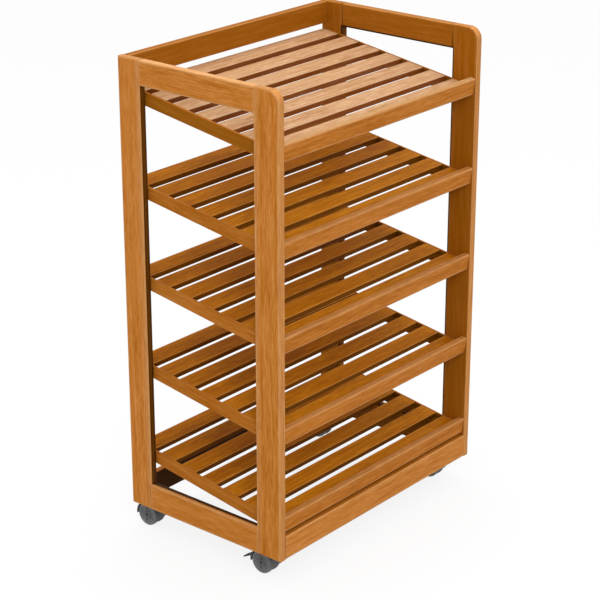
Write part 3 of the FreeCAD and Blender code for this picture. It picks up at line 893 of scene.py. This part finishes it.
        # Painted shade on the top faces, where asked.
        if part != "front_stile":
            paint(shape, on_top, dark=self.top_shade)
        # Painted shade on the inner faces; painted shade with near-black in the opening's rounding,
        # on the rear stile's reveal and on the bottom rail's ledge.
        paint(shape, lambda point: abs(point.x) < s.inside + NEAR, dark=self.inner_shade)
        paint(shape, on_shaded_arris, dark=1.0, grime=self.arris_grime)
        if part == "rear_stile":
            paint(shape, on_reveal, dark=1.0, grime=self.opening_grime)
        paint(shape, on_shaded_ledge, grime=self.ledge_grime)

    def build(self) -> list[bpy.types.Object]:
        """Make the four boards.

        Returns:
            The boards' objects.
        """
        y0, y1, y2, y3, z0, z1, z2, z3 = self.levels()
        more, sliver = 0.01, 1e-4
        front_joint, rear_joint = Cap(1, y1), Cap(1, y2)
        both = (front_joint, rear_joint)
        boards = {
            "front_stile": (y0 - more, y1, z0 - more, z3 + more, Along.Z, (front_joint,), -0.2),
            "rear_stile": (y2, y3 + more, z0 - more, z3 + more, Along.Z, (rear_joint,), 0.15),
            "top_rail": (y1, y2, z2 - sliver, z3 + more, Along.Y, both, 0.3),
            "bottom_rail": (y1, y2, z0 - more, z1 + sliver, Along.Y, both, 0.0),
        }
        ring = self.ring()
        made = []
        for number, (part, (*limits, along, caps, tone)) in enumerate(boards.items()):
            node = f"{self.side.word}_{part}"
            shape = self.board(ring, *limits)
            for cap in caps:
                cap.chamfer(shape)
            glued = caps if along is Along.Y else ()
            mark_wood(shape, along, 11 + 7 * number + self.side.value, glued, tone=tone)
            self.weather(shape, part)
            made.append(mesh_piece(f"{node}_board", shape, HONEY_OIL, "rack", node))
        ring.free()
        return made


@dataclass
class CrossRail:
    """A board across the rack between the side frames."""

    node: str
    seed: int
    tone: float = 0.0
    # Painted shade on the face towards the front, with near-black where asked, and on the top face;
    # painted highlight on the top face.
    inner_shade: float = 0.0
    inner_grime: float = 0.0
    top_wear: float = 0.0
    top_shade: float = 0.0
    sizes: FrameSizes = field(default_factory=FrameSizes)

    def build(self) -> bpy.types.Object:
        """Make the board, as large as its CAD node.

        Returns:
            The board's object.
        """
        low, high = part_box(self.node)
        shape = cross_board(oblong(low.y, low.z, high.y, high.z), self.sizes.inside,
                            self.sizes.edge, self.seed, self.tone)
        # Painted highlight and painted shade on the top face; painted shade and near-black painted
        # shade on the face towards the front.
        paint(shape, lambda point: abs(point.z - high.z) < NEAR, wear=self.top_wear,
              dark=self.top_shade)
        paint(shape, lambda point: abs(point.y - low.y) < NEAR, dark=self.inner_shade,
              grime=self.inner_grime)
        return mesh_piece(f"{self.node}_board", shape, HONEY_OIL, "rack", self.node)


# Shelves --------------------------------------------------------------------------------


@dataclass
class Shelf:
    """One sloping shelf: bearers, slats and lip, in axes that run up the slope."""

    number: int
    count: int = 5
    inside: float = 0.314
    front: float = -0.212
    lowest: float = 0.139
    pitch: float = 0.199
    angle: float = 8.7
    lip_setback: float = 0.004
    lip_thickness: float = 0.014
    lip_height: float = 0.038
    lip_rise: float = 0.017
    lip_edge: float = 0.003
    lip_steps: int = 6
    slats: int = 7
    slat_width: float = 0.041
    slat_pitch: float = 0.0600036
    slat_thickness: float = 0.012
    slat_edge: float = 0.001
    slat_end_edge: float = 0.0005
    slat_end_gap: float = 0.0004
    slat_border: float = 0.0018
    band: float = 0.005
    ledge: float = 0.013
    bearer_height: float = 0.028
    bearer_edge: float = 0.0007
    bearer_border: float = 0.0016
    # Painted shade on the slats' long edges and in the bearers' rebates.
    edge_shade: float = 0.97
    rebate_grime: float = 0.4
    lip_tone: float = -0.9
    bearer_tone: float = -0.8
    # The lower shelves' slats darken towards the back as painted shade, down to this tone.
    rear_shade_tone: float = -1.3
    tone_spread: float = 0.45

    @property
    def on_top(self) -> bool:
        """True for the highest shelf, whose slats are paler with a painted sheen."""
        return self.number == 1

    @property
    def start(self) -> float:
        """Where the slats start, up the slope from the front."""
        return self.lip_setback + self.lip_thickness

    @property
    def run(self) -> float:
        """Length of the bearers."""
        return (self.slats - 1) * self.slat_pitch + self.slat_width

    def place(self) -> Matrix:
        """Matrix from the shelf's own axes to the rack's."""
        height = self.lowest + (self.count - self.number) * self.pitch
        return (Matrix.Translation((0.0, self.front, height))
                @ Matrix.Rotation(math.radians(self.angle), 4, "X"))

    def set_down(self, shape: Shape) -> Shape:
        """Move a shape from the shelf's axes to the rack's."""
        bmesh.ops.transform(shape, matrix=self.place(), verts=shape.verts)
        return shape

    def slat(self, step: int) -> Shape:
        """Make one slat with eased edges, and with painted shade on its two long edges.

        Args:
            step: Number of the slat, from 0 at the front.

        Returns:
            A new mesh, in the shelf's axes.
        """
        low = self.start + step * self.slat_pitch
        high = low + self.slat_width
        half = self.inside - self.band - self.slat_end_gap
        shape = prism(oblong(low, -self.slat_thickness, high, 0.0), Along.X, -half, half)
        round_edges(shape, self.slat_edge, runs_across, 3)
        round_edges(shape, self.slat_end_edge, is_arris, 1)
        mark_wood(shape, Along.X, 100 * self.number + step, border=self.slat_border,
                  tone=self.slat_tone(step))

        def on_edge(point: Vector) -> bool:
            """True on either long edge, below its rounding."""
            inwards = min(point.y - low, high - point.y)
            return inwards < 0.3 * self.slat_edge and point.z < -0.05 * self.slat_thickness

        # Painted shade on the edges that face into the gaps.
        paint(shape, on_edge, dark=self.edge_shade)
        return shape

    def slat_tone(self, step: int) -> float:
        """Choose a slat's tone: lower shelves darken towards the back as painted shade, plus a
        random spread.

        Args:
            step: Number of the slat, from 0 at the front.

        Returns:
            How light the slat is.
        """
        chance = random.Random(1000 * self.number + step)
        # Painted shade: on the lower shelves the tone falls from front to back.
        shade = 0.0 if self.on_top else max(0.6 - 0.5 * step, self.rear_shade_tone)
        return shade + chance.uniform(-self.tone_spread, self.tone_spread)

    def build_slats(self) -> bpy.types.Object:
        """Make all slats of the shelf, in one piece.

        Returns:
            The slats' object.
        """
        whole = bmesh.new()
        for step in range(self.slats):
            merge(whole, self.set_down(self.slat(step)))
        node = f"shelf_{self.number}_slats"
        # The top shelf's slats take the colours with a painted sheen.
        oil = SHEEN_TOP_OIL if self.on_top else SLAT_OIL
        return mesh_piece(f"{node}_set", whole, oil, "rack", node)

    def build_lip(self) -> bpy.types.Object:
        """Make the raised board across the low end.

        Returns:
            The lip's object.
        """
        top = self.lip_rise
        shape = cross_board(oblong(self.lip_setback, top - self.lip_height, self.start, top),
                            self.inside, self.lip_edge, 40 + self.number, self.lip_tone,
                            self.lip_steps)
        # Painted highlight on the lip's top face, with near-black painted shade mixed in on the top
        # shelf and brown painted shade on the lower ones.
        marks = {"wear": 0.9, "grime": 0.28} if self.on_top else {"wear": 0.35, "dark": 0.3}
        paint(shape, lambda point: point.z > top - NEAR, **marks)
        node = f"shelf_{self.number}_lip"
        return mesh_piece(f"{node}_board", self.set_down(shape), HONEY_OIL, "rack",
                          node)

    def build_bearer(self, side: Side) -> bpy.types.Object:
        """Make the rebated bearer along one side frame.

        Args:
            side: Which side it is on.

        Returns:
            The bearer's object.
        """
        sign = side.value
        rebate = self.inside - self.band
        outer, band, ledge = sign * self.inside, sign * rebate, sign * (rebate - self.ledge)
        section = [(outer, 0.0), (band, 0.0), (band, -self.slat_thickness),
                   (ledge, -self.slat_thickness), (ledge, -self.bearer_height),
                   (outer, -self.bearer_height)]
        shape = prism(section, Along.Y, self.start, self.start + self.run)
        round_edges(shape, self.bearer_edge, lambda edge: edge.is_convex and is_arris(edge), 2)
        mark_wood(shape, Along.Y, 60 + 3 * self.number + sign, border=self.bearer_border,
                  tone=self.bearer_tone, wear_and_highlight_amount=0.0)
        # Painted shade on the bearer's top and outer faces, strongest on the top shelf under the
        # top rail, and painted shade with near-black in the rebate seen at the gaps' ends.
        outer_shade, top_shade = (0.95, 0.7) if self.on_top else (0.4, 0.2)
        paint(shape, lambda point: point.z > -NEAR, dark=top_shade)
        paint(shape, lambda point: abs(point.x) > self.inside - NEAR, dark=outer_shade)
        paint(shape, lambda point: abs(point.x) < rebate + NEAR, dark=1.0, grime=self.rebate_grime)
        node = f"shelf_{self.number}_{side.word}_bearer"
        return mesh_piece(f"{node}_strip", self.set_down(shape), HONEY_OIL, "rack",
                          node)

    def build(self) -> list[bpy.types.Object]:
        """Every piece of the shelf."""
        return [self.build_slats(), self.build_lip(), *(self.build_bearer(side) for side in Side)]


# Carried-over nodes ---------------------------------------------------------------------


def dress_node(node: str, finish: Finish, soften: float = 0.0) -> None:
    """Give a CAD node its finish, and light-catching edges where it is a hard moulding.

    Args:
        node: Name of the node.
        finish: What it is finished with.
        soften: Radius of its eased edges, or 0 for none.
    """
    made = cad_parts[node]
    made.data.materials.clear()
    made.data.materials.append(FINISHES.get(finish))
    if soften:
        eased = made.modifiers.new("eased_edges", "BEVEL")
        eased.width = soften
        eased.segments = 2
        eased.limit_method = "ANGLE"
        eased.angle_limit = math.radians(50)
        eased.use_clamp_overlap = True
    LOG.info("%s: kept, in %s", node, finish.name)


@dataclass
class HiddenWood:
    """Wooden dowels and blocks, marked with grain coordinates through one plain attribute."""

    nodes: tuple[str, ...] = ("rail_dowels", "lip_dowels", "caster_blocks")
    in_tree: Point = (3.0, 0.03, 0.02)

    def build(self) -> None:
        """Dress the nodes."""
        for node in self.nodes:
            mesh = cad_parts[node].data
            grain = mesh.attributes.new("grain", "FLOAT_VECTOR", "POINT")
            for index, vert in enumerate(mesh.vertices):
                grain.data[index].vector = vert.co + Vector(self.in_tree)
            dress_node(node, RAW_BLOCK)


@dataclass
class Fixings:
    """Screws, pins, plates and kingpins, in bright zinc."""

    plain: tuple[str, ...] = ("slat_pins", "bearer_screws", "block_screws", "caster_screws")
    eased: tuple[str, ...] = ("caster_plates", "caster_kingpins")
    soften: float = 0.0003

    def build(self) -> None:
        """Dress the nodes."""
        for node in self.plain:
            dress_node(node, ZINC)
        for node in self.eased:
            dress_node(node, ZINC, self.soften)


# Casters --------------------------------------------------------------------------------


def lathe(profile: Section, centre: Vector, steps: int = 64) -> Shape:
    """Turn a closed profile about an axis along X.

    Args:
        profile: Points as (X from the centre, radius).
        centre: A point on the axis.
        steps: How many steps make the full turn.

    Returns:
        A new mesh.
    """
    shape = bmesh.new()
    rows = []
    for step in range(steps):
        turn = 2 * math.pi * step / steps
        rows.append([
            shape.verts.new(centre + Vector((x, radius * math.cos(turn), radius * math.sin(turn))))
            for x, radius in profile
        ])
    for step in range(steps):
        row, following = rows[step], rows[(step + 1) % steps]
        for index in range(len(profile)):
            after = (index + 1) % len(profile)
            shape.faces.new((row[index], row[after], following[after], following[index]))
    bmesh.ops.recalc_face_normals(shape, faces=shape.faces)
    return shape


@dataclass
class Caster:
    """One hooded twin-wheel caster."""

    side: Side
    end: End
    radius: float = 0.026
    inner: float = 0.003
    width: float = 0.013
    edge: float = 0.0035
    edge_steps: int = 6
    bore: float = 0.00305
    hub: float = 0.0085
    recess: float = 0.002
    rim: float = 0.0215
    ribs: int = 5
    rib_overlap: float = 0.001
    rib_halves: tuple[float, float] = (0.0011, 0.0016)
    rib_edge: float = 0.0004
    # How dark the tread is, and how dark the painted shade is at the hub.
    tread_dark: float = 0.6
    hub_shade: float = 1.0
    hood_edge: float = 0.0005
    axle_edge: float = 0.0003
    pedal_edge: float = 0.0006

    @property
    def name(self) -> str:
        """Name that the caster's nodes start with."""
        return f"{self.end.word}_{self.side.word}_caster"

    def wheel_profile(self, sign: int) -> Section:
        """Draw the section of a wheel: crowned tread, grooved side, dished face and raised hub.

        Args:
            sign: -1 for the left wheel, 1 for the right one.

        Returns:
            Closed list of (X, radius).
        """
        outer, shoulder = self.inner + self.width, self.radius - self.edge
        turns = [math.pi / 2 * step / self.edge_steps for step in range(1, self.edge_steps)]
        rises = [(self.edge * (1 - math.cos(turn)), self.edge * (1 - math.sin(turn)))
                 for turn in turns]
        points = [(self.inner, self.bore), (self.inner, shoulder)]
        points += [(self.inner + across, self.radius - down) for across, down in rises]
        points += [(self.inner + self.edge, self.radius), (outer - self.edge, self.radius)]
        points += [(outer - across, self.radius - down) for down, across in rises]
        floor = outer - self.recess
        points += [
            (outer, shoulder), (outer, self.rim + 0.0004), (outer - 0.0004, self.rim),
            (floor + 0.0003, self.rim - 0.0003), (floor, self.rim - 0.0007),
            (floor, self.hub + 0.0008), (floor + 0.0006, self.hub),
            (outer - 0.0005, self.hub - 0.0002), (outer, self.hub - 0.0008),
            (outer, self.bore + 0.0004), (outer - 0.0004, self.bore),
        ]
        return [(sign * x, radius) for x, radius in points]

    def rib(self, axle: Vector, sign: int, angle: float) -> Shape:
        """Make a low radial rib in the dished face, from hub to rim.

        Args:
            axle: Middle of the caster's axle.
            sign: -1 for the left wheel, 1 for the right one.
            angle: Which way the rib points.

        Returns:
            A new mesh.
        """
        outer = self.inner + self.width
        low, high = self.hub - self.rib_overlap, self.rim + self.rib_overlap
        narrow, wide = self.rib_halves
        shape = prism([(low, -narrow), (high, -wide), (high, wide), (low, narrow)], Along.X,
                      sign * (outer - self.recess - 0.0006), sign * (outer - 0.0007))
        round_edges(shape, self.rib_edge, is_arris, 2)
        bmesh.ops.transform(shape, matrix=Matrix.Translation(axle) @ Matrix.Rotation(angle, 4, "X"),
                            verts=shape.verts)
        return shape

    def shade_wheel(self, shape: Shape, axle: Vector) -> None:
        """Write on a wheel's points its darker tread and the painted shade in its dish and at its
        hub.

        Args:
            shape: The wheel.
            axle: Middle of the caster's axle.
        """
        layer = shape.verts.layers.float.new("dark_tread_and_shade")
        for vert in shape.verts:
            radius = (vert.co - axle).yz.length
            if radius > self.radius - 0.3 * self.edge:
                vert[layer] = self.tread_dark
            elif radius < self.rim - 0.0005:
                vert[layer] = self.hub_shade * (1.0 - 0.6 * radius / self.rim)

    def build_wheel(self, wheel: Side) -> bpy.types.Object:
        """Make one wheel, in its CAD node's place.

        Args:
            wheel: Which wheel of the caster it is.

        Returns:
            The wheel's object.
        """
        node = f"{self.name}_{wheel.word}_wheel"
        low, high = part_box(node)
        middle = (low + high) / 2
        axle = Vector((middle.x - wheel.value * (self.inner + self.width / 2), middle.y, middle.z))
        shape = lathe(self.wheel_profile(wheel.value), axle)
        for spoke in range(self.ribs):
            merge(shape, self.rib(axle, wheel.value, 2 * math.pi * spoke / self.ribs))
        self.shade_wheel(shape, axle)
        return mesh_piece(f"{node}_turned", shape, GREY_WHEEL, node, node)

    def build(self) -> None:
        """Dress the caster's mouldings and make its wheels."""
        dress_node(f"{self.name}_housing", GREY_HOOD, self.hood_edge)
        dress_node(f"{self.name}_axle", BLACKENED, self.axle_edge)
        if self.end is End.FRONT:
            dress_node(f"{self.name}_brake_pedal", BLACK_PEDAL, self.pedal_edge)
        for wheel in Side:
            self.build_wheel(wheel)


# Studio ---------------------------------------------------------------------------------


@dataclass
class Studio:
    """Pale floor, soft lamps, white surroundings and the camera."""

    camera_place: Point = (-3.0176, -2.5109, 2.0448)
    azimuth: float = -50.09
    elevation: float = 21.63
    lens: float = 117.17
    sensor: float = 36.0
    clip: tuple[float, float] = (0.1, 60.0)
    lamps_aim: Point = (0.0, 0.0, 0.5)
    surround: float = 0.85
    bounce: float = 0.51
    bounce_speckle: float = 0.02
    speckle_scale: float = 90.0
    floor_seen: float = 0.97
    floor_glow: float = 0.86
    floor_reach: float = 30.0
    lamps: tuple[tuple[str, Point, float, float], ...] = (
        ("key_lamp", (-2.4, -2.7, 3.1), 1.5, 45.0),
        ("top_lamp", (0.3, 0.2, 3.4), 1.4, 33.0),
    )

    def build_camera(self) -> None:
        """Set the camera and make it the scene's own."""
        data = bpy.data.cameras.new("camera")
        data.sensor_width = self.sensor
        data.lens = self.lens
        data.clip_start, data.clip_end = self.clip
        made = bpy.data.objects.new("camera", data)
        turn, tilt = math.radians(self.azimuth), math.radians(self.elevation)
        back = Vector((math.sin(turn) * math.cos(tilt), -math.cos(turn) * math.cos(tilt),
                       math.sin(tilt)))
        made.location = self.camera_place
        made.rotation_euler = (-back).to_track_quat("-Z", "Y").to_euler()
        bpy.context.scene.collection.objects.link(made)
        bpy.context.scene.camera = made

    def build_lamps(self) -> None:
        """Hang the soft lamps, each turned to the middle of the rack."""
        for name, place, size, power in self.lamps:
            data = bpy.data.lights.new(name, "AREA")
            data.shape = "DISK"
            data.size = size
            data.energy = power
            made = bpy.data.objects.new(name, data)
            made.location = place
            aim = Vector(self.lamps_aim) - Vector(place)
            made.rotation_euler = aim.to_track_quat("-Z", "Y").to_euler()
            bpy.context.scene.collection.objects.link(made)

    def seen(self, bench: NodeBench) -> Socket:
        """1 for rays that show the surroundings themselves: camera, mirror and see-through.

        Args:
            bench: Bench of the material or the surroundings.

        Returns:
            The socket of the value.
        """
        path = bench.add("LightPath").outputs
        seen = bench.add("Math", {0: path["Is Camera Ray"], 1: path["Is Glossy Ray"]},
                         operation="MAXIMUM").outputs[0]
        return bench.add("Math", {0: seen, 1: path["Is Transmission Ray"]},
                         operation="MAXIMUM").outputs[0]

    def build_floor(self) -> None:
        """Lay a broad pale floor that keeps a faint shadow."""
        bench = NodeBench(bpy.data.materials.new("pale_floor"))
        speckle = bench.noise(bench.place(), self.speckle_scale)
        seen = self.seen(bench)
        bounce = bench.mixed(speckle, (self.bounce,) * 3, (self.bounce + self.bounce_speckle,) * 3)
        colour = bench.mixed(seen, bounce, (self.floor_seen,) * 3)
        matt = bench.add("BsdfDiffuse", {"Color": colour})
        glow = bench.add("Emission", {"Color": WHITE, "Strength": 1.0})
        share = bench.product(seen, self.floor_glow)
        both = bench.add("MixShader", {0: share, 1: matt.outputs[0], 2: glow.outputs[0]})
        bench.add("OutputMaterial", {"Surface": both.outputs[0]})
        mesh = bpy.data.meshes.new("floor")
        reach = self.floor_reach
        corners = [(x, y, 0.0) for x, y in oblong(-reach, -reach, reach, reach)]
        mesh.from_pydata(corners, [], [(0, 1, 2, 3)])
        mesh.materials.append(bench.owner)
        made = bpy.data.objects.new("floor", mesh)
        bpy.context.scene.collection.objects.link(made)

    def build_surroundings(self) -> None:
        """White where it is seen, and a plain soft light elsewhere."""
        world = bpy.data.worlds.new("surroundings")
        bpy.context.scene.world = world
        bench = NodeBench(world)
        strength = bench.ranged(self.seen(bench), 0.0, 1.0, self.surround, 1.0)
        glow = bench.add("Background", {"Color": WHITE, "Strength": strength})
        bench.add("OutputWorld", {"Surface": glow.outputs[0]})

    def build(self) -> None:
        """Set up the whole studio."""
        self.build_surroundings()
        self.build_floor()
        self.build_lamps()
        self.build_camera()
        bpy.context.scene.view_settings.view_transform = "Standard"


# Rack -----------------------------------------------------------------------------------


def main() -> None:
    """Build the rack, piece by piece, and the studio round it."""
    logging.basicConfig(level=logging.INFO, format="%(message)s")
    SideFrame(Side.LEFT).build()
    # The right frame's top faces get a weaker painted highlight and painted shade.
    SideFrame(Side.RIGHT, top_wear=0.35, top_shade=0.8).build()
    # Painted shade on the back rails' inner faces, near-black on the lower one, and on the top
    # faces of the back top and front bottom rails; a faint painted highlight on the back top rail's
    # top.
    CrossRail("back_top_rail", seed=21, tone=-1.0, inner_shade=0.85, top_wear=0.15,
              top_shade=1.0).build()
    CrossRail("back_bottom_rail", seed=22, tone=-0.8, inner_shade=1.0, inner_grime=0.75).build()
    CrossRail("front_bottom_rail", seed=23, tone=1.0, top_shade=0.8).build()
    for number in range(1, Shelf.count + 1):
        Shelf(number).build()
    HiddenWood().build()
    Fixings().build()
    for side in Side:
        for end in End:
            Caster(side, end).build()
    Studio().build()


if __name__ == "__main__":
    main()
